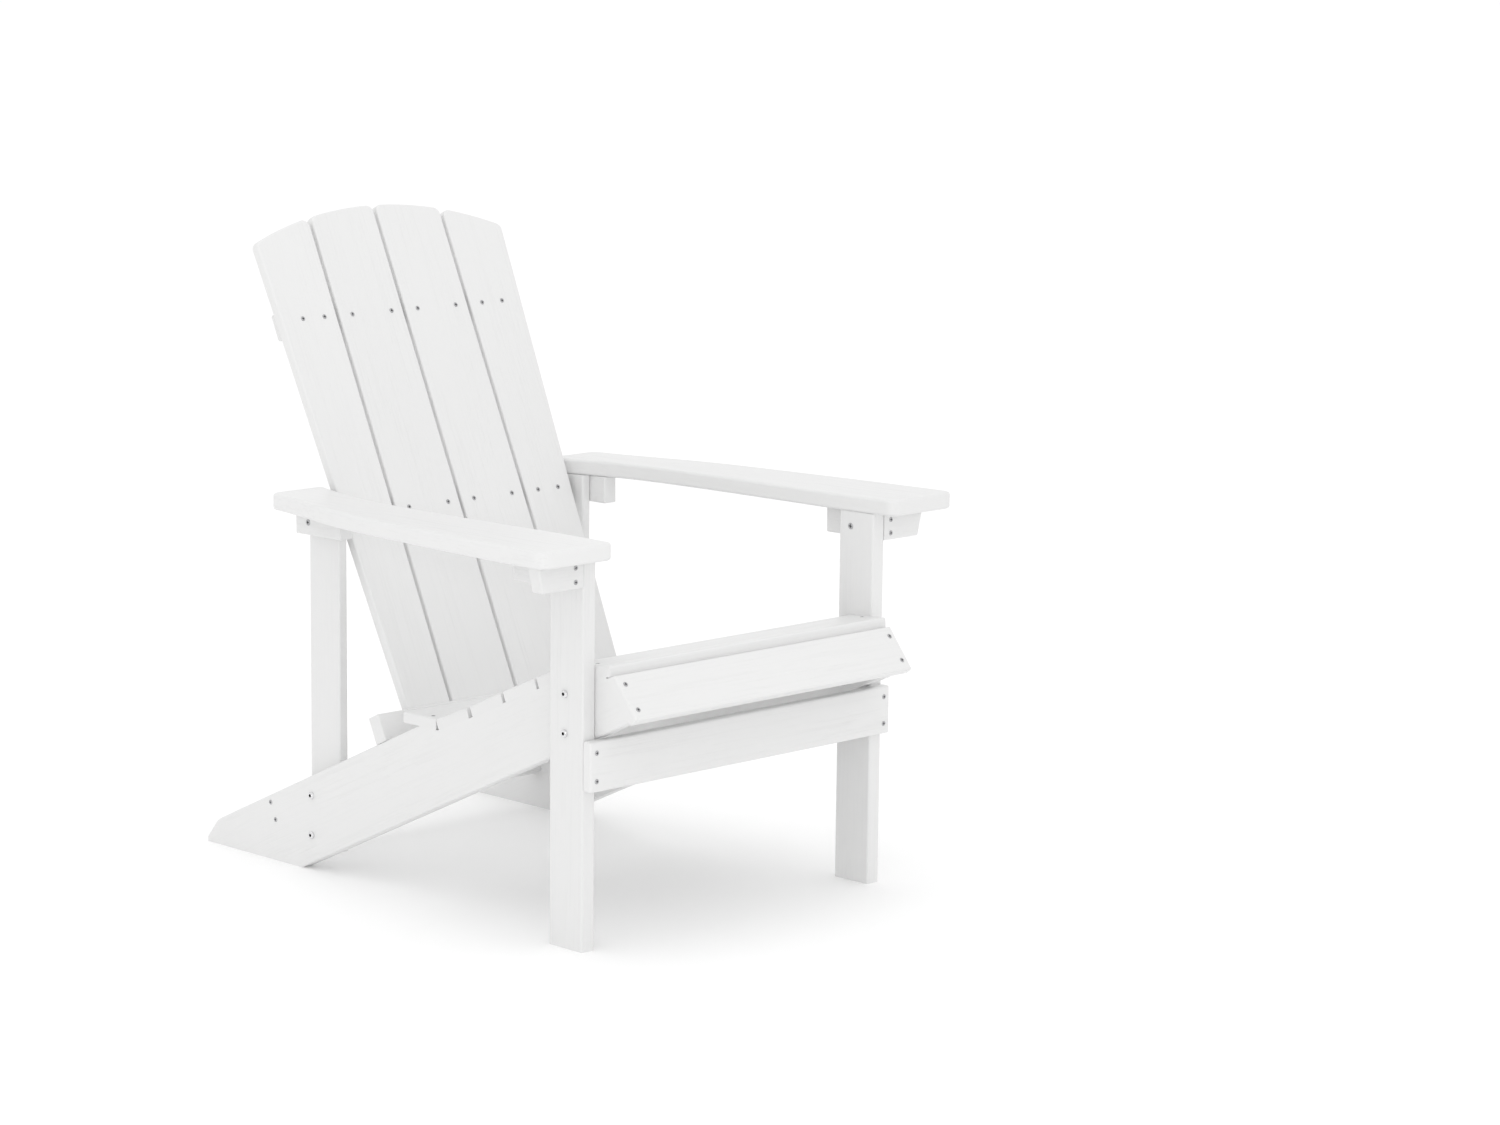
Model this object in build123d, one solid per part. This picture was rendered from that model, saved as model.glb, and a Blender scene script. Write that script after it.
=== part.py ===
from build123d import *
import math
import os

# Adirondack garden chair made of moulded plastic boards, screwed and bolted together.
# Millimetres.  +X is the sitter's left, -Y is the front of the chair, +Z is up.
# The drawing below measures y rearwards from the front face of the front legs;
# everything is moved by Y_SHIFT on export, so that the origin is on the floor,
# under the middle of the whole chair.

# ---------------------------------------------------------------- board stock
FRAME_T = 22.0        # thickness of front legs, side rails, arms, battens and blocks
SLAT_T = 15.0         # thickness of slats, apron, front stretcher and rear uprights
SLAT_W = 66.0         # width of a seat slat, of the apron and of the stretcher
POST_W = 63.0         # width of a front leg and of a rear upright
BATTEN_H = 38.0       # height of the battens: back rails, foot rail and arm cleats
EDGE_R = 3.0          # moulded round-over along every board, and round its free ends
CLEAT_R = 2.0         # the same on the cleats
SLAT_LOW_R = 1.5      # round-over along the underside of the seat slats

# ---------------------------------------------------------------- main sizes
SEAT_HALF = 255.0     # centre line to the outer face of a side rail
RAIL_IN = SEAT_HALF - FRAME_T          # inner face of a side rail
LEG_OUT = SEAT_HALF + FRAME_T          # outer face of a front leg
UPRIGHT_IN = RAIL_IN - SLAT_T          # inner face of a rear upright
ARM_Z = 513.0         # underside of the arms, at the front face of the legs
ARM_FALL = 0.65       # degrees by which the arms fall to the rear
BRACKET_Z = 474.5     # underside of the arm brackets
TILT = 25.1           # side rails from level, and the back from upright, in degrees

# side rail: a straight board on edge that falls to the rear and ends in the rear foot
RAIL_W = 112.0        # width of the board, square to its edges
HEEL_Y = 594.0        # front end of the flat foot
TOE_Y = 804.0         # rear end of the flat foot
CLIP_Y = 776.0        # where the clipped rear end meets the upper edge
NOSE_Y = -19.2        # front end of the seat contour
# underside line of the seat slats, front to rear; each span carries one slat
SEAT_LINE = [(40.0, 355.2), (109.0, 326.0), (173.5, 298.0), (238.5, 268.0),
             (306.5, 239.6)]           # from here level, to the straight upper edge

# apron (sloping nose board): upper and lower front corners of its section
APRON_TOP = (-35.0, 364.5)
APRON_DROP = 38.8     # degrees from upright, lower edge forward
APRON_BEVEL = 4.4     # the upper end is planed to fit under the front slat, higher at its back

STRETCHER_Z = 211.5   # lower edge of the front stretcher

UPRIGHT_Y = 537.0     # front edge of the rear uprights
UPRIGHT_Z = 28.0      # lower end of the rear uprights

FRONT_CLEAT_Y = (22.5, 109.0)   # along the arm
REAR_CLEAT_Y = (507.0, 602.0)
BRACKET_TOP = 78.0    # reach of the arm bracket beyond the leg, at its top
BRACKET_LOW = 68.0    # and at its underside

# back: slats stand on the lower batten, in a plane leaning back by TILT
BACK_Y, BACK_Z = 460.3, 299.3          # a point on the front plane of the slats
CROWN_V = 656.5       # top of the arched head, measured up the slope from that point
CROWN_R = 600.0       # radius of the arched head
SLAT_GAP = 5.0
SLAT_CORNER_R = 11.0  # corners at the top of each slat
INNER_SLAT = 115.0    # width of the two parallel middle slats
HALF_LOW = 198.3      # half width of the back at the lower end
HALF_FLARE = 0.0386   # outward flare of the outer edges per unit of height
UPPER_V = 498.5       # centre line of the upper back rail
MIDDLE_V = 214.7      # centre line of the middle back rail
UPPER_HALF = 207.0    # half length of the upper back rail

# arm outline: sitter's left arm, (x, y)
ARM_FRONT_Y = -36.0
ARM_REAR_Y = 602.0
ARM_OUTER = [(381.0, ARM_FRONT_Y), (375.0, 80.0), (366.0, 200.0), (355.0, 320.0),
             (339.0, 430.0), (320.0, 505.0), (301.0, ARM_REAR_Y)]
ARM_INNER = [(208.0, ARM_REAR_Y), (217.0, 575.0), (241.0, 480.0), (251.0, 360.0),
             (252.5, 220.0), (256.0, ARM_FRONT_Y)]

# fasteners: (head radius, head height, shank radius)
SCREW = (3.4, 2.4, 1.9)
COACH = (4.4, 2.6, 2.8)
BOLT = (5.3, 3.3, 3.0)
PROUD = 0.6           # screw heads stand this much above the board
FLUSH = 0.0           # or end level with it, on the seat and where they are hidden
PLAY = 0.05           # radial play of every fastener in its hole
NUT_AF = 10.0
NUT_H = 5.0
WASHER_R = 8.0
WASHER_T = 1.5

# ---------------------------------------------------------------- derived
ST, CT = math.sin(math.radians(TILT)), math.cos(math.radians(TILT))
TANT = ST / CT
SA, CA = math.sin(math.radians(APRON_DROP)), math.cos(math.radians(APRON_DROP))
BACK = Plane(origin=(0, BACK_Y, BACK_Z), x_dir=(1, 0, 0), z_dir=(0, -CT, ST))
ARM = Plane(origin=(0, 0, ARM_Z), x_dir=(1, 0, 0),
            z_dir=(0, math.sin(math.radians(ARM_FALL)), math.cos(math.radians(ARM_FALL))))
FRONT_MOST = APRON_TOP[0] - SLAT_W * SA + EDGE_R * (SA + CA - 1.0)
Y_SHIFT = -(FRONT_MOST + TOE_Y) / 2.0

# the lower batten stands on the upper edge of the rails, and the slats stand on it
BATTEN_V = CT * ((HEEL_Y - BACK_Y) * TANT + RAIL_W / CT - BACK_Z)
FOOT_V = BATTEN_V + BATTEN_H
SEAT_LINE.append((HEEL_Y - (SEAT_LINE[-1][1] - RAIL_W / CT) / TANT, SEAT_LINE[-1][1]))


def low_edge(y):
    """Height of the lower edge of a side rail."""
    return (HEEL_Y - y) * TANT


def top_edge(y):
    """Height of the straight upper edge of a side rail, behind the seat."""
    return low_edge(y) + RAIL_W / CT


def block(x0, x1, y0, y1, z0, z1):
    return Pos((x0 + x1) / 2, (y0 + y1) / 2, (z0 + z1) / 2) * Box(
        abs(x1 - x0), abs(y1 - y0), abs(z1 - z0))


def soften(body, edges, r=EDGE_R):
    """Round the given edges; a shape that refuses the full radius gets a smaller one."""
    for radius in (r, r * 0.7, r * 0.4):
        try:
            return fillet(edges, radius)
        except Exception:
            continue
    return body


def long_edges(body, axis, r=EDGE_R):
    return soften(body, body.edges().filter_by(axis), r)


def all_edges(body, r=EDGE_R):
    return soften(body, body.edges(), r)


def side_plate(points, x0, x1):
    """Extrude an outline drawn in (y, z) from x0 to x1."""
    face = Plane.YZ.offset(x0) * make_face(Polyline(*points, close=True))
    return extrude(face, x1 - x0)


def mirrored(body):
    return mirror(body, about=Plane.YZ)


nodes = {}            # name -> body
boards = []           # names of the boards that fasteners pass through


def add_board(name, body):
    nodes[name] = body
    boards.append(name)


def add_pair(name, left):
    add_board(name + "_left", left)
    add_board(name + "_right", mirrored(left))


# ---------------------------------------------------------------- side rails
apron_back_top = (APRON_TOP[0] + SLAT_T * CA, APRON_TOP[1] - SLAT_T * SA)
apron_back_low = (apron_back_top[0] - SLAT_W * SA, apron_back_top[1] - SLAT_W * CA)
# the front end of the rail lies on the back of the apron, down to the rail's lower edge
t_low = (apron_back_top[1] - low_edge(apron_back_top[0])) / (CA + SA * TANT)
nose_low = (apron_back_top[0] - t_low * SA, apron_back_top[1] - t_low * CA)
t_top = (NOSE_Y - apron_back_top[0]) / SA
nose_top = (NOSE_Y, apron_back_top[1] + t_top * CA)
rail_outline = [nose_low, nose_top] + SEAT_LINE + [
    (CLIP_Y, top_edge(CLIP_Y)), (CLIP_Y + 8.0, top_edge(CLIP_Y) - 7.0),
    (TOE_Y, 7.0), (TOE_Y, 0.0), (HEEL_Y, 0.0)]
rail = side_plate(rail_outline, RAIL_IN, SEAT_HALF)


def rail_edge_ok(edge):
    """The routed edges: the lower edge and the straight upper edge behind the seat."""
    c = edge.center()
    if abs(c.X - RAIL_IN) > 0.1 and abs(c.X - SEAT_HALF) > 0.1:
        return False
    on_low = abs(c.Z - low_edge(c.Y)) < 0.5 and edge.length > 100
    on_top = abs(c.Z - top_edge(c.Y)) < 0.5 and edge.length > 100
    return on_low or on_top


rail = soften(rail, [e for e in rail.edges() if rail_edge_ok(e)])
add_pair("side_rail", rail)

# ---------------------------------------------------------------- posts
under_arm = ARM * Pos(0, 0, -500) * Box(2000, 2000, 1000)
leg = long_edges(block(SEAT_HALF, LEG_OUT, 0, POST_W, 0, ARM_Z + 5), Axis.Z)
add_pair("front_leg", leg & under_arm)
upright = long_edges(
    block(UPRIGHT_IN, RAIL_IN, UPRIGHT_Y, UPRIGHT_Y + POST_W, UPRIGHT_Z, ARM_Z), Axis.Z)
add_pair("rear_upright", upright & under_arm)

# ---------------------------------------------------------------- arms and their blocks
outline = [Spline(*ARM_OUTER), Line(ARM_OUTER[-1], ARM_INNER[0]), Spline(*ARM_INNER),
           Line(ARM_INNER[-1], ARM_OUTER[0])]
arm = extrude(make_face(outline), FRAME_T)
for corner, radius in ((ARM_OUTER[0], 20.0), (ARM_INNER[-1], 15.0),
                       (ARM_OUTER[-1], 20.0), (ARM_INNER[0], 9.0)):
    uprights = [e for e in arm.edges().filter_by(Axis.Z)
                if math.hypot(e.center().X - corner[0], e.center().Y - corner[1]) < 1.0]
    arm = soften(arm, uprights, radius)
arm = soften(arm, arm.faces().sort_by(Axis.Z)[-1].edges()
             + arm.faces().sort_by(Axis.Z)[0].edges(), EDGE_R + 0.5)
add_pair("arm", ARM * arm)

front_cleat = all_edges(
    block(LEG_OUT, LEG_OUT + FRAME_T, *FRONT_CLEAT_Y, -BATTEN_H, 0), CLEAT_R)
add_pair("front_arm_cleat", ARM * front_cleat)
rear_cleat = all_edges(
    block(RAIL_IN, SEAT_HALF, *REAR_CLEAT_Y, -BATTEN_H, 0), CLEAT_R)
add_pair("rear_arm_cleat", ARM * rear_cleat)

bracket_top = ARM_Z + 3
bracket_face = Plane.XZ * make_face(Polyline(
    (LEG_OUT, BRACKET_Z), (LEG_OUT + BRACKET_LOW, BRACKET_Z),
    (LEG_OUT + BRACKET_TOP, bracket_top), (LEG_OUT, bracket_top), close=True))
bracket = extrude(bracket_face, -FRAME_T)
bracket = soften(bracket, [e for e in bracket.edges()
                           if e.center().X > LEG_OUT + 5 and e.center().Z < ARM_Z - 1])
add_pair("arm_bracket", bracket & under_arm)

# ---------------------------------------------------------------- back
def half_width(v):
    return HALF_LOW + HALF_FLARE * (v - FOOT_V)


def back_slat(xa0, xa1, xb0, xb1):
    """A slat between two lines: xa at the lower end, xb at the height of the crown."""
    blank = make_face(Polyline((xa0, FOOT_V), (xa1, FOOT_V), (xb1, CROWN_V),
                               (xb0, CROWN_V), close=True))
    head = Pos(0, CROWN_V - CROWN_R) * Circle(CROWN_R)
    outline = (blank & head).face()
    outline = fillet(outline.vertices().sort_by(Axis.Y)[-2:], SLAT_CORNER_R)
    body = extrude(outline, -SLAT_T)
    flats = [f for f in body.faces() if abs(f.normal_at().Z) > 0.99]
    routed = [e for f in flats for e in f.edges() if e.center().Y > FOOT_V + 0.1]
    return BACK * soften(body, routed)


inner_a, inner_b = SLAT_GAP / 2, SLAT_GAP / 2 + INNER_SLAT
outer_a = inner_b + SLAT_GAP
low_w, top_w = half_width(FOOT_V), half_width(CROWN_V)
add_pair("back_slat_inner", back_slat(inner_a, inner_b, inner_a, inner_b))
add_pair("back_slat_outer", back_slat(outer_a, low_w, outer_a, top_w))


def back_batten(half, v, n_front):
    """A batten across the back, lying in the slope; n_front is its front face."""
    return Pos(0, v, n_front - FRAME_T / 2) * Box(2 * half, BATTEN_H, FRAME_T)


LOWER_N = (FRAME_T - SLAT_T) / 2
lower_v = FOOT_V - BATTEN_H / 2
upper = back_batten(UPPER_HALF, UPPER_V, -SLAT_T)
middle = back_batten(UPRIGHT_IN, MIDDLE_V, -SLAT_T)
lower = back_batten(SEAT_HALF, lower_v, LOWER_N)
add_board("upper_back_rail", BACK * all_edges(upper))
add_board("middle_back_rail", BACK * long_edges(middle, Axis.X))
add_board("lower_back_batten", BACK * all_edges(lower, CLEAT_R))

# batten between the rear feet, square to the side rails
foot_y, foot_z = 656.5, 69.5
FOOT_RAIL = Plane(origin=(0, foot_y, foot_z), x_dir=(1, 0, 0), z_dir=(0, -CT, ST))
foot_rail = FOOT_RAIL * long_edges(Box(2 * RAIL_IN, BATTEN_H, FRAME_T), Axis.X)
add_board("rear_foot_rail", foot_rail)

# ---------------------------------------------------------------- seat
seat_planes = []      # plane on top of each slat: x along the chair's width, y to the rear


def seat_slat(front, rear, start, width=SLAT_W):
    """Slat lying on the line front-rear, its front lower edge `start` along that line."""
    dy, dz = rear[0] - front[0], rear[1] - front[1]
    run = math.hypot(dy, dz)
    uy, uz = dy / run, dz / run
    mid = start + width / 2
    centre = (0, front[0] + uy * mid - uz * SLAT_T, front[1] + uz * mid + uy * SLAT_T)
    top = Plane(origin=centre, x_dir=(1, 0, 0), z_dir=(0, -uz, uy))
    seat_planes.append(top)
    body = Pos(0, 0, -SLAT_T / 2) * Box(2 * SEAT_HALF, width, SLAT_T)
    body = soften(body, body.faces().sort_by(Axis.Z)[-1].edges())
    under = body.faces().sort_by(Axis.Z)[0].edges().filter_by(Axis.X)
    return top * soften(body, under, SLAT_LOW_R)


seat_spans = [(nose_top, SEAT_LINE[0])] + list(zip(SEAT_LINE, SEAT_LINE[1:]))
for i, (front, rear) in enumerate(seat_spans):
    run = math.hypot(rear[0] - front[0], rear[1] - front[1])
    if i == 0:
        start = run - SLAT_W - 0.6
    elif i == len(seat_spans) - 1:
        start = 3.5
    else:
        start = run - SLAT_W - 2.2
    add_board(f"seat_slat_{i + 1}", seat_slat(front, rear, start))

APRON = Plane(origin=(0, APRON_TOP[0] - SLAT_W / 2 * SA, APRON_TOP[1] - SLAT_W / 2 * CA),
              x_dir=(1, 0, 0), z_dir=(0, -CA, SA))
apron_front_low = (APRON_TOP[0] - SLAT_W * SA, APRON_TOP[1] - SLAT_W * CA)
apron_planed = (apron_back_top[0] + APRON_BEVEL * SA, apron_back_top[1] + APRON_BEVEL * CA)
apron = side_plate([APRON_TOP, apron_front_low, apron_back_low, apron_planed],
                   -SEAT_HALF, SEAT_HALF)


def apron_edge_ok(edge):
    """The routed edges: all round the front face, and along the lower end of the back."""
    c = APRON.to_local_coords(edge.center())
    return c.Z > -1.0 or (abs(c.X) < 1.0 and c.Y < 0)


add_board("seat_apron", soften(apron, [e for e in apron.edges() if apron_edge_ok(e)]))

stretcher = block(-LEG_OUT, LEG_OUT, -SLAT_T, 0, STRETCHER_Z, STRETCHER_Z + SLAT_W)
add_board("front_stretcher", all_edges(stretcher))

# ---------------------------------------------------------------- fasteners
def pin(head_r, head_h, shank_r, length, above):
    """Head and shank in one piece; z = 0 is the board's face and the shank points to -z."""
    head = Pos(0, 0, above - head_h / 2) * Cylinder(head_r, head_h)
    shank_top = above - head_h
    shank = Pos(0, 0, (shank_top - length) / 2) * Cylinder(shank_r, length + shank_top)
    return head + shank


def screw(kind, length, above):
    """Pan head with a cross recess."""
    head_r, head_h, shank_r = kind
    solid = pin(head_r, head_h, shank_r, length, above)
    solid = soften(solid, solid.faces().sort_by(Axis.Z)[-1].edges(), 0.5)
    slot = Pos(0, 0, above) * (Box(head_r * 1.15, head_r * 0.28, 2.8)
                               + Box(head_r * 0.28, head_r * 1.15, 2.8))
    return solid - slot


def bolt(kind, length, above):
    """Button head with a hexagon socket, standing on the board."""
    head_r, head_h, shank_r = kind
    solid = pin(head_r, head_h, shank_r, length, above)
    solid = soften(solid, solid.faces().sort_by(Axis.Z)[-1].edges(), 2.2)
    socket = Pos(0, 0, above - 2.2) * extrude(RegularPolygon(2.5, 6), 3.0)
    return solid - socket


cutters = []          # (body, box) of every hole


def frame_at(point, direction):
    """Plane at a point on a face, its z axis out of the board along `direction`."""
    d = Vector(*direction)
    x_dir = (1, 0, 0) if abs(d.X) < 0.9 else (0, 1, 0)
    return Plane(origin=point, x_dir=x_dir, z_dir=d)


def add_fasteners(name, make, kind, length, places, above):
    """Equal fasteners at (point, outward direction); every one gets its own hole."""
    master = make(kind, length, above)
    hole = pin(kind[0] + PLAY, kind[1], kind[2] + PLAY, length + 1.0, above)
    group = []
    for point, direction in places:
        place = frame_at(point, direction)
        group.append(place * master)
        drill = place * hole
        cutters.append((drill, drill.bounding_box()))
    nodes[name] = Compound(children=group)


def both(x, y, z):
    return [(x, y, z), (-x, y, z)]


def outward(x, y, z):
    """The point on both sides, each facing away from the centre line."""
    return [((x, y, z), (1, 0, 0)), ((-x, y, z), (-1, 0, 0))]


def on_plane(plane, x, v, n=0.0):
    p = plane.from_local_coords((x, v, n))
    return (p.X, p.Y, p.Z)


normal_out = (0, -CT, ST)
slope_up = (0, ST, CT)
slope_down = (0, -ST, -CT)
slat_screw_x = (24.0, 95.0, 145.0, 183.0)
for name, v in (("upper", UPPER_V), ("middle", MIDDLE_V)):
    places = [(on_plane(BACK, s * x, v), normal_out) for x in slat_screw_x for s in (-1, 1)]
    add_fasteners(f"back_screws_{name}", screw, SCREW, 33.0, places, PROUD)

slat_mid_n = -SLAT_T / 2
places = [(on_plane(BACK, s * x, BATTEN_V, slat_mid_n), slope_down)
          for x in (24.0, 95.0, 141.0, 180.0) for s in (-1, 1)]
add_fasteners("back_foot_screws", screw, SCREW, 70.0, places, FLUSH)
places = [(on_plane(BACK, s * (SEAT_HALF - FRAME_T / 2), FOOT_V, slat_mid_n), slope_up)
          for s in (-1, 1)]
add_fasteners("lower_batten_screws", screw, SCREW, 72.0, places, FLUSH)

places = []
for i, top in enumerate(seat_planes):
    shift = -15.0 if i == len(seat_planes) - 1 else 0.0
    d = top.z_dir
    for s in (-1, 1):
        places.append((on_plane(top, s * (SEAT_HALF - FRAME_T / 2), shift),
                       (d.X, d.Y, d.Z)))
add_fasteners("seat_screws", screw, SCREW, 40.0, places, FLUSH)

places = [(on_plane(APRON, s * (SEAT_HALF - FRAME_T / 2), v), (0, -CA, SA))
          for v in (19.0, -18.5) for s in (-1, 1)]
add_fasteners("apron_screws", screw, SCREW, 38.0, places, PROUD)

mid_leg = SEAT_HALF + FRAME_T / 2
places = [(pt, (0, -1, 0)) for z in (226.0, 263.0) for pt in both(mid_leg, -SLAT_T, z)]
add_fasteners("stretcher_screws", screw, SCREW, 40.0, places, PROUD)

places = [(pt, (0, -1, 0)) for z in (484.0, 502.5) for pt in both(LEG_OUT + 13.0, 0, z)]
add_fasteners("bracket_screws", screw, SCREW, 52.0, places, PROUD)

places = []
for z, y in ((81.0, 661.9), (58.0, 651.1)):
    places += outward(SEAT_HALF, y, z)
add_fasteners("foot_rail_screws", screw, SCREW, 52.0, places, PROUD)

places = outward(SEAT_HALF, 575.0, 486.0)
add_fasteners("rear_cleat_screws", screw, COACH, 66.0, places, PROUD)

# through the leg from its inner face into the cleat
places = [((s * SEAT_HALF, 42.0, 492.0), (-s, 0, 0)) for s in (-1, 1)]
add_fasteners("front_cleat_screws", screw, COACH, 38.0, places, PROUD)

# up through the cleats into the underside of the arms
places = []
for x, y in ((LEG_OUT + 9.0, 68.0), (LEG_OUT + 13.0, 96.0),
             (SEAT_HALF - 13.0, 522.0), (SEAT_HALF - 9.0, 553.0)):
    for s in (-1, 1):
        d = ARM.z_dir
        places.append((on_plane(ARM, s * x, y, -BATTEN_H), (-d.X, -d.Y, -d.Z)))
add_fasteners("arm_screws", screw, SCREW, 52.0, places, FLUSH)


def nut_set():
    """Washer and hexagon nut; z = 0 is the board's face, the set stands on +z."""
    bore = BOLT[2] + PLAY
    washer = Pos(0, 0, WASHER_T / 2) * (Cylinder(WASHER_R, WASHER_T) - Cylinder(bore, WASHER_T))
    nut = extrude(RegularPolygon(NUT_AF / 2, 6, major_radius=False), NUT_H)
    nut = Pos(0, 0, WASHER_T) * (nut - Pos(0, 0, NUT_H / 2) * Cylinder(bore, NUT_H))
    return washer, nut


for name, x, grip, spots in (
        ("leg", LEG_OUT, 2 * FRAME_T, ((33.5, 334.0), (33.5, 282.5))),
        ("upright", SEAT_HALF, FRAME_T + SLAT_T, ((571.5, 106.0), (571.5, 50.0)))):
    bolt_len = grip + WASHER_T + NUT_H + 1.5
    places = []
    for y, z in spots:
        places += outward(x, y, z)
    add_fasteners(f"{name}_bolts", bolt, BOLT, bolt_len, places, BOLT[1])
    group = []
    for (px, y, z), (dx, _, _) in places:
        inner = frame_at((px - dx * grip, y, z), (-dx, 0, 0))
        group += [inner * body for body in nut_set()]
    nodes[f"{name}_bolt_nuts"] = Compound(children=group)

# ---------------------------------------------------------------- holes
def boxes_meet(a, b):
    return (a.min.X < b.max.X and b.min.X < a.max.X and a.min.Y < b.max.Y
            and b.min.Y < a.max.Y and a.min.Z < b.max.Z and b.min.Z < a.max.Z)


for name in boards:
    box = nodes[name].bounding_box()
    for drill, drill_box in cutters:
        if boxes_meet(box, drill_box):
            nodes[name] = nodes[name] - drill

# ---------------------------------------------------------------- export
os.makedirs("parts", exist_ok=True)
for name, body in nodes.items():
    moved = [Pos(0, Y_SHIFT, 0) * solid for solid in body.solids()]
    export_step(moved[0] if len(moved) == 1 else Compound(children=moved),
                f"parts/{name}.step")
print("nodes", len(nodes), "y shift", round(Y_SHIFT, 2))
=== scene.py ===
"""Looks for the moulded-board adirondack chair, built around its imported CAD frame.

The CAD boards and fasteners keep their shapes.  This script gives them their surfaces
(white moulded board with an embossed wood grain that runs along each board, sawn ends,
zinc and steel fasteners), a pale floor, soft studio light and the camera.
"""

import math

import bpy
from mathutils import Matrix, Vector

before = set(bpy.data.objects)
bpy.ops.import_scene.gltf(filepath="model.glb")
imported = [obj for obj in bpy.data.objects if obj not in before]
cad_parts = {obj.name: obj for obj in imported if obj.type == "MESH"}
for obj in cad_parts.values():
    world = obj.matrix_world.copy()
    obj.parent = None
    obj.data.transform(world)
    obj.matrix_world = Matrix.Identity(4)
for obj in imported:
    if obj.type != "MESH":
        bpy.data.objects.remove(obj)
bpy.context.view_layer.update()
scene = bpy.context.scene

# ------------------------------------------------------------------ finish of the materials
# lengths are in metres
BOARD_COLOR = (0.768, 0.768, 0.766)
BOARD_ROUGHNESS = 0.34
GROOVE_ROUGHNESS = 0.48        # where the grain is pressed in
END_ROUGHNESS = 0.62           # sawn ends of the boards
BOARD_IOR = 1.49
GRAIN_DEPTH = 0.00024          # height range of the embossed grain
SAW_DEPTH = 0.00012            # and of the saw marks
GROOVE_SHARE = 0.50            # parts that grooves, pores and fibres have in the grain's depth
PORE_SHARE = 0.34
FIBRE_SHARE = 0.14
GROOVE_PAINTED_SHADE = 0.945           # painted shade in the pressed grooves of the grain, as a share of the board's colour
DRIFT_SHADE = 0.988            # the darkest of the slow drift along a board
SHADE_STEP = 0.004             # difference in shade between one board and the next
SHADES = 4                     # number of shades in a batch of boards

# cells per metre of each pattern: along the board, and across it twice
GROOVE_GRID = (7.0, 250.0, 250.0)
PORE_GRID = (26.0, 520.0, 520.0)
FIBRE_GRID = (18.0, 1400.0, 1400.0)
PATCH_GRID = (4.0, 16.0, 16.0)
DRIFT_GRID = (1.6, 5.0, 5.0)
SAW_GRID = (30.0, 40.0, 1100.0)

SCREW_COLOR = (0.50, 0.50, 0.51)
SCREW_ROUGHNESS = 0.30
SCREW_SCRATCH = 0.00003
BOLT_COLOR = (0.80, 0.80, 0.81)
BOLT_ROUGHNESS = 0.18
BOLT_SCRATCH = 0.00002
TARNISH_SHADE = 0.86           # colour of the tarnish, as a share of the plating's
SCRATCH_GRID = (2600.0, 2600.0, 2600.0)
TARNISH_GRID = (240.0, 240.0, 240.0)
# painted shade: the colour that the drive recesses are darkened to
RECESS_PAINTED_SHADE = (0.02, 0.02, 0.02)
RECESS_REACH = 0.004           # how near a wall has to be for the recess to get painted shade

TILT = math.radians(25.1)      # side rails from level, back from upright

ACROSS = Vector((1.0, 0.0, 0.0))
UP = Vector((0.0, 0.0, 1.0))
REARWARD = Vector((0.0, 1.0, 0.0))
RAIL_RUN = Vector((0.0, math.cos(TILT), -math.sin(TILT)))
BACK_RUN = Vector((0.0, math.sin(TILT), math.cos(TILT)))


def long_direction(name):
    """The long direction of a board, which its grain follows, from the board's name."""
    if name.startswith("side_rail"):
        return RAIL_RUN
    if name.startswith("back_slat"):
        return BACK_RUN
    if name.startswith(("front_leg", "rear_upright")):
        return UP
    if name.startswith(("arm_left", "arm_right", "front_arm_cleat", "rear_arm_cleat")):
        return REARWARD
    return ACROSS


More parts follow.
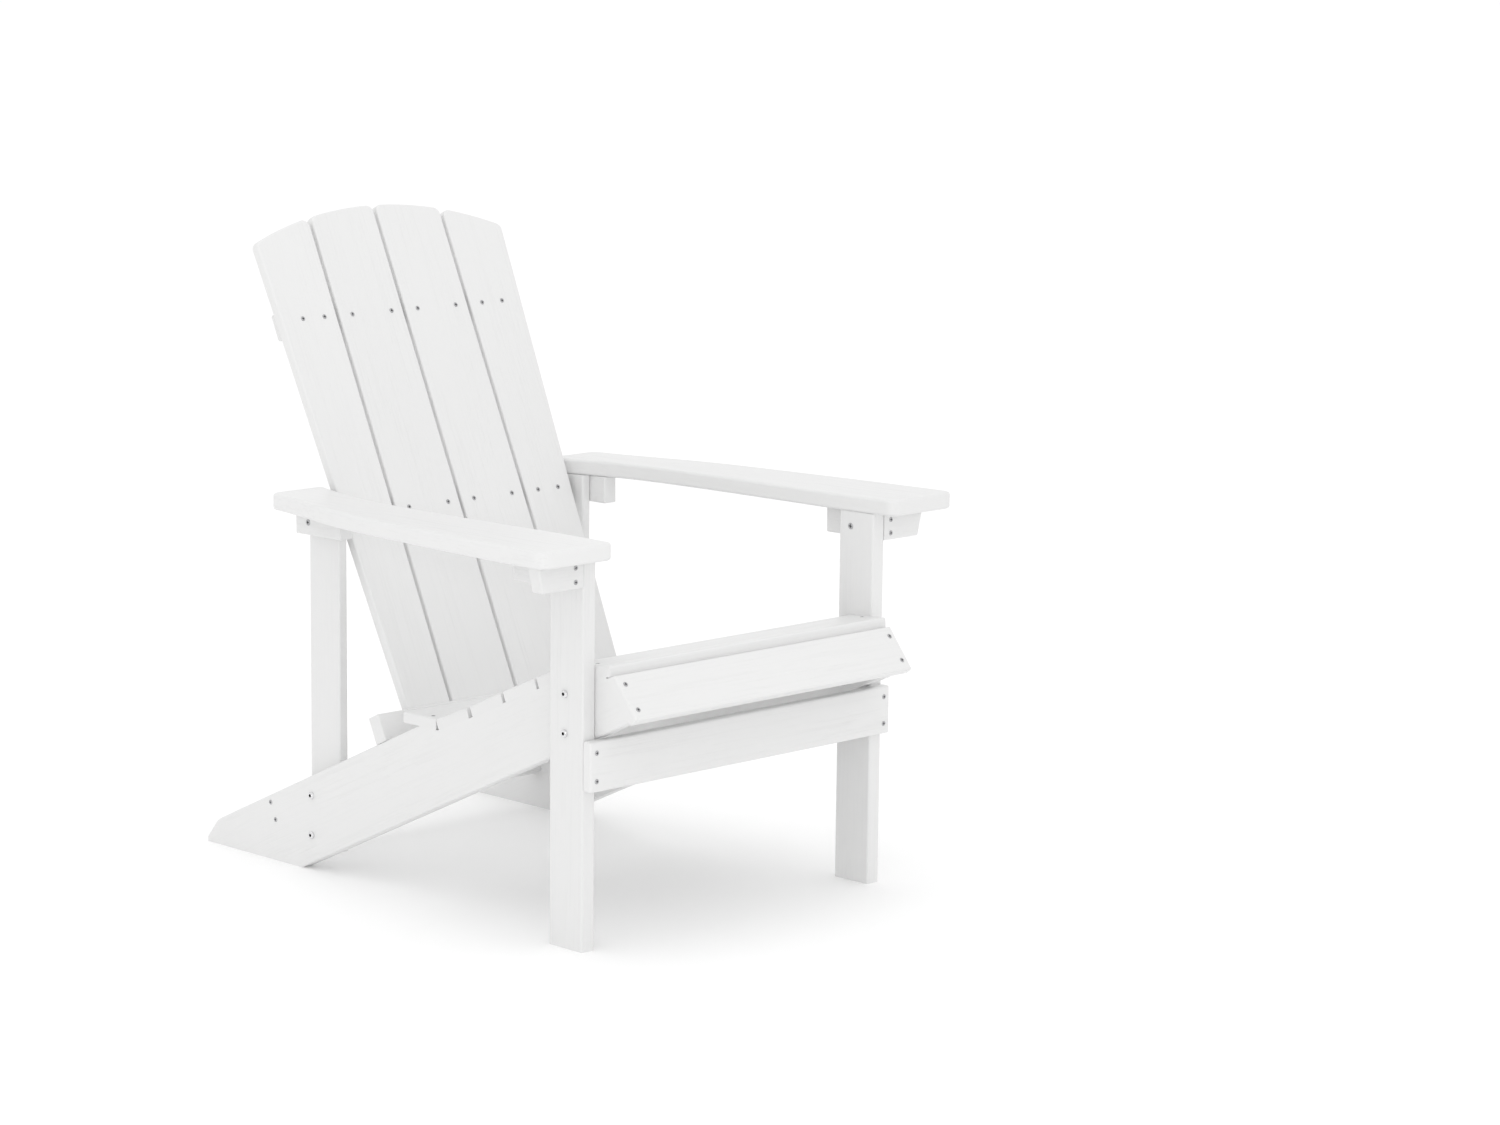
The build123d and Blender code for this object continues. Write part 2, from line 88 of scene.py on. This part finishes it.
# ------------------------------------------------------------------ shader building blocks
class Nodes:
    """Short forms for adding and linking the nodes of one material."""

    def __init__(self, material):
        material.use_nodes = True
        self.tree = material.node_tree
        self.tree.nodes.clear()
        self.output = self.add("ShaderNodeOutputMaterial")
        self.shader = self.add("ShaderNodeBsdfPrincipled")
        self.link(self.shader.outputs["BSDF"], self.output.inputs["Surface"])

    def add(self, kind, **settings):
        node = self.tree.nodes.new(kind)
        for key, value in settings.items():
            setattr(node, key, value)
        return node

    def link(self, source, target):
        self.tree.links.new(source, target)

    def value(self, socket, source):
        if isinstance(source, (int, float, tuple, list, Vector)):
            socket.default_value = source
        else:
            self.link(source, socket)

    def math(self, operation, a, b=0.0, clamp=False):
        node = self.add("ShaderNodeMath", operation=operation, use_clamp=clamp)
        self.value(node.inputs[0], a)
        self.value(node.inputs[1], b)
        return node.outputs[0]

    def ramp(self, source, low, high, to_low=0.0, to_high=1.0):
        node = self.add("ShaderNodeMapRange", interpolation_type="SMOOTHSTEP")
        self.value(node.inputs["Value"], source)
        node.inputs["From Min"].default_value = low
        node.inputs["From Max"].default_value = high
        node.inputs["To Min"].default_value = to_low
        node.inputs["To Max"].default_value = to_high
        return node.outputs["Result"]

    def blend(self, factor, a, b):
        node = self.add("ShaderNodeMix", data_type="FLOAT")
        self.value(node.inputs[0], factor)
        self.value(node.inputs[2], a)
        self.value(node.inputs[3], b)
        return node.outputs[0]

    def blend_color(self, factor, a, b):
        node = self.add("ShaderNodeMix", data_type="RGBA")
        self.value(node.inputs[0], factor)
        for socket, color in ((node.inputs[6], a), (node.inputs[7], b)):
            self.value(socket, (*color, 1.0) if isinstance(color, tuple) else color)
        return node.outputs[2]

    def coords(self, rotation, scale, shift):
        """Object coordinates turned by `rotation`, then stretched and shifted."""
        source = self.add("ShaderNodeTexCoord").outputs["Object"]
        turn = self.add("ShaderNodeMapping", vector_type="POINT")
        turn.inputs["Rotation"].default_value = rotation
        self.link(source, turn.inputs["Vector"])
        stretch = self.add("ShaderNodeMapping", vector_type="POINT")
        stretch.inputs["Scale"].default_value = scale
        stretch.inputs["Location"].default_value = shift
        self.link(turn.outputs["Vector"], stretch.inputs["Vector"])
        return stretch.outputs["Vector"]

    def noise(self, vector, detail=2.0, roughness=0.5, distortion=0.0):
        node = self.add("ShaderNodeTexNoise")
        self.link(vector, node.inputs["Vector"])
        node.inputs["Scale"].default_value = 1.0
        node.inputs["Detail"].default_value = detail
        node.inputs["Roughness"].default_value = roughness
        node.inputs["Distortion"].default_value = distortion
        return node.outputs["Fac"]


def board_material(name, along, number):
    """White moulded board, embossed along `along`; `number` moves the pattern."""
    material = bpy.data.materials.new("white_board_" + name)
    n = Nodes(material)
    # turn the coordinates so that the board's long direction becomes X
    spin = along.rotation_difference(Vector((1.0, 0.0, 0.0))).to_euler("XYZ")
    shift = (number * 3.17, number * 7.31, number * 1.93)

    # grooves: long wavy lines about 4 mm apart, pressed into the face of the board
    waves = n.noise(n.coords(spin, GROOVE_GRID, shift), 2.0, 0.5, 0.35)
    grooves = n.ramp(waves, 0.50, 0.66)
    # pores: short sharp dashes, 15 to 40 mm long
    dashes = n.noise(n.coords(spin, PORE_GRID, shift), 1.0, 0.5)
    pores = n.ramp(dashes, 0.60, 0.72)
    # hair-fine fibres between them
    fibres = n.noise(n.coords(spin, FIBRE_GRID, shift), 2.0)
    # where the grain is pressed deeper and where it fades out
    patches = n.noise(n.coords(spin, PATCH_GRID, shift), 1.0)
    patches = n.ramp(patches, 0.35, 0.70, 0.40, 1.0)

    pressed = n.math("ADD", n.math("MULTIPLY", grooves, GROOVE_SHARE),
                     n.math("MULTIPLY", pores, PORE_SHARE))
    pressed = n.math("MULTIPLY", pressed, patches)
    height = n.math("SUBTRACT", n.math("MULTIPLY", fibres, FIBRE_SHARE), pressed)

    # sawn ends: faint parallel saw marks in place of the grain
    normal = n.add("ShaderNodeTexCoord").outputs["Normal"]
    facing = n.add("ShaderNodeVectorMath", operation="DOT_PRODUCT")
    n.link(normal, facing.inputs[0])
    facing.inputs[1].default_value = along
    is_end = n.ramp(n.math("ABSOLUTE", facing.outputs["Value"]), 0.86, 0.97)
    marks = n.noise(n.coords(spin, SAW_GRID, shift), 2.0)
    marks = n.math("MULTIPLY", marks, SAW_DEPTH / GRAIN_DEPTH)
    height = n.blend(is_end, height, marks)

    bump = n.add("ShaderNodeBump")
    bump.inputs["Strength"].default_value = 1.0
    bump.inputs["Distance"].default_value = GRAIN_DEPTH
    n.link(height, bump.inputs["Height"])
    n.link(bump.outputs["Normal"], n.shader.inputs["Normal"])

    # colour: a shade less in the grooves as painted shade, and a slow drift along the board
    drift = n.noise(n.coords(spin, DRIFT_GRID, shift), 2.0)
    tint = 1.0 - SHADE_STEP * (number % SHADES)
    light = tuple(c * tint for c in BOARD_COLOR)
    dark = tuple(c * tint * DRIFT_SHADE for c in BOARD_COLOR)
    painted_groove_shade = tuple(c * GROOVE_PAINTED_SHADE for c in BOARD_COLOR)
    color = n.blend_color(n.ramp(drift, 0.3, 0.7), light, dark)
    # painted shade: the pressed grooves get a darker colour, except on the sawn ends
    groove_share = n.math("MULTIPLY", pressed, n.math("SUBTRACT", 1.0, is_end), clamp=True)
    color = n.blend_color(groove_share, color, painted_groove_shade)
    n.link(color, n.shader.inputs["Base Color"])

    # satin skin, duller in the grooves and on the sawn ends
    skin = n.ramp(pressed, 0.0, 0.6, BOARD_ROUGHNESS, GROOVE_ROUGHNESS)
    n.link(n.blend(is_end, skin, END_ROUGHNESS), n.shader.inputs["Roughness"])
    n.shader.inputs["IOR"].default_value = BOARD_IOR
    return material


def metal_material(name, base, roughness, scratch):
    """Plated steel: fine brushing, a little tarnish, and drive recesses painted dark as shade.
    """
    material = bpy.data.materials.new(name)
    n = Nodes(material)
    level = (0.0, 0.0, 0.0)
    fine = n.noise(n.coords(level, SCRATCH_GRID, level), 2.0)
    cloud = n.noise(n.coords(level, TARNISH_GRID, level), 3.0)
    worn = tuple(c * TARNISH_SHADE for c in base)
    plating = n.blend_color(n.ramp(cloud, 0.35, 0.70), base, worn)
    # painted shade: an occlusion node finds the drive recesses, and their colour is blended
    # towards near black
    open_sky = n.add("ShaderNodeAmbientOcclusion", samples=16, only_local=True)
    open_sky.inputs["Distance"].default_value = RECESS_REACH
    unshaded = n.ramp(open_sky.outputs["AO"], 0.45, 0.80)
    n.link(n.blend_color(unshaded, RECESS_PAINTED_SHADE, plating), n.shader.inputs["Base Color"])
    n.link(n.ramp(cloud, 0.3, 0.7, roughness - 0.06, roughness + 0.10),
           n.shader.inputs["Roughness"])
    n.shader.inputs["Metallic"].default_value = 1.0
    bump = n.add("ShaderNodeBump")
    bump.inputs["Strength"].default_value = 1.0
    bump.inputs["Distance"].default_value = scratch
    n.link(fine, bump.inputs["Height"])
    n.link(bump.outputs["Normal"], n.shader.inputs["Normal"])
    return material


screw_steel = metal_material("screw_steel", SCREW_COLOR, SCREW_ROUGHNESS, SCREW_SCRATCH)
bolt_steel = metal_material("bolt_steel", BOLT_COLOR, BOLT_ROUGHNESS, BOLT_SCRATCH)

for number, name in enumerate(sorted(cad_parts)):
    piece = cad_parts[name]
    if "bolt" in name:
        material, slot_name = bolt_steel, "bolt_steel"
    elif "screws" in name:
        material, slot_name = screw_steel, "screw_steel"
    else:
        material, slot_name = board_material(name, long_direction(name), number), "white_board"
    piece.data.materials.clear()
    piece.data.materials.append(material)

# ------------------------------------------------------------------ floor
FLOOR_HALF = 60.0              # far enough for its edge to stay out of every view
FLOOR_COLOR = (0.97, 0.97, 0.97, 1.0)
FLOOR_GLOW = 0.045             # keeps the floor as pale as the studio behind it
WHITE = (1.0, 1.0, 1.0, 1.0)
floor_mesh = bpy.data.meshes.new("floor")
floor_mesh.from_pydata(
    [(-FLOOR_HALF, -FLOOR_HALF, 0.0), (FLOOR_HALF, -FLOOR_HALF, 0.0),
     (FLOOR_HALF, FLOOR_HALF, 0.0), (-FLOOR_HALF, FLOOR_HALF, 0.0)], [], [(0, 1, 2, 3)])
floor = bpy.data.objects.new("floor", floor_mesh)
scene.collection.objects.link(floor)
floor_paint = bpy.data.materials.new("studio_floor")
paint = Nodes(floor_paint)
paint.shader.inputs["Base Color"].default_value = FLOOR_COLOR
paint.shader.inputs["Roughness"].default_value = 0.9
paint.shader.inputs["Specular IOR Level"].default_value = 0.1
paint.shader.inputs["Emission Color"].default_value = WHITE
paint.shader.inputs["Emission Strength"].default_value = FLOOR_GLOW
floor_mesh.materials.append(floor_paint)

# ------------------------------------------------------------------ light
STUDIO_STRENGTH = 1.005
SEAT_HEIGHT = 0.4              # what the lamps are turned towards

world = bpy.data.worlds.new("studio")
scene.world = world
world.use_nodes = True
sky = world.node_tree.nodes["Background"]
sky.inputs["Color"].default_value = WHITE
sky.inputs["Strength"].default_value = STUDIO_STRENGTH


def softbox(name, place, size, power):
    """A square soft lamp, `size` metres wide, turned towards the chair's seat."""
    data = bpy.data.lights.new(name, "AREA")
    data.shape = "SQUARE"
    data.size = size
    data.energy = power
    lamp = bpy.data.objects.new(name, data)
    scene.collection.objects.link(lamp)
    lamp.location = place
    lamp.rotation_mode = "QUATERNION"
    aim = Vector((0.0, 0.0, SEAT_HEIGHT)) - Vector(place)
    lamp.rotation_quaternion = aim.to_track_quat("-Z", "Y")


softbox("softbox_top", (-0.6, -0.8, 4.2), 3.5, 18.0)
softbox("softbox_front", (-4.3, -4.6, 1.7), 0.9, 30.0)

# ------------------------------------------------------------------ camera
SENSOR_MM = 36.0
LENS_MM = 100.283
SHIFT_X, SHIFT_Y = 0.005505, 0.011127      # shares of the picture's width
camera_azimuth = math.radians(-44.998)
camera_pitch = math.radians(10.028)
camera_roll = math.radians(0.6385)
camera_distance = 5.97294
aim_point = Vector((0.35532, -0.01443, 0.36607))

look = Vector((-math.sin(camera_azimuth) * math.cos(camera_pitch),
               math.cos(camera_azimuth) * math.cos(camera_pitch), -math.sin(camera_pitch)))
right = Vector((math.cos(camera_azimuth), math.sin(camera_azimuth), 0.0))
up = right.cross(look)
rolled_right = right * math.cos(camera_roll) + up * math.sin(camera_roll)
rolled_up = -right * math.sin(camera_roll) + up * math.cos(camera_roll)

camera_data = bpy.data.cameras.new("camera")
camera = bpy.data.objects.new("camera", camera_data)
scene.collection.objects.link(camera)
camera_data.sensor_width = SENSOR_MM
camera_data.lens = LENS_MM
camera_data.shift_x, camera_data.shift_y = SHIFT_X, SHIFT_Y
camera_data.clip_start, camera_data.clip_end = 0.1, 200.0
turn = Matrix((rolled_right, rolled_up, -look)).transposed().to_4x4()
camera.matrix_world = Matrix.Translation(aim_point - look * camera_distance) @ turn
scene.camera = camera

scene.view_settings.view_transform = "Standard"
scene.view_settings.look = "None"
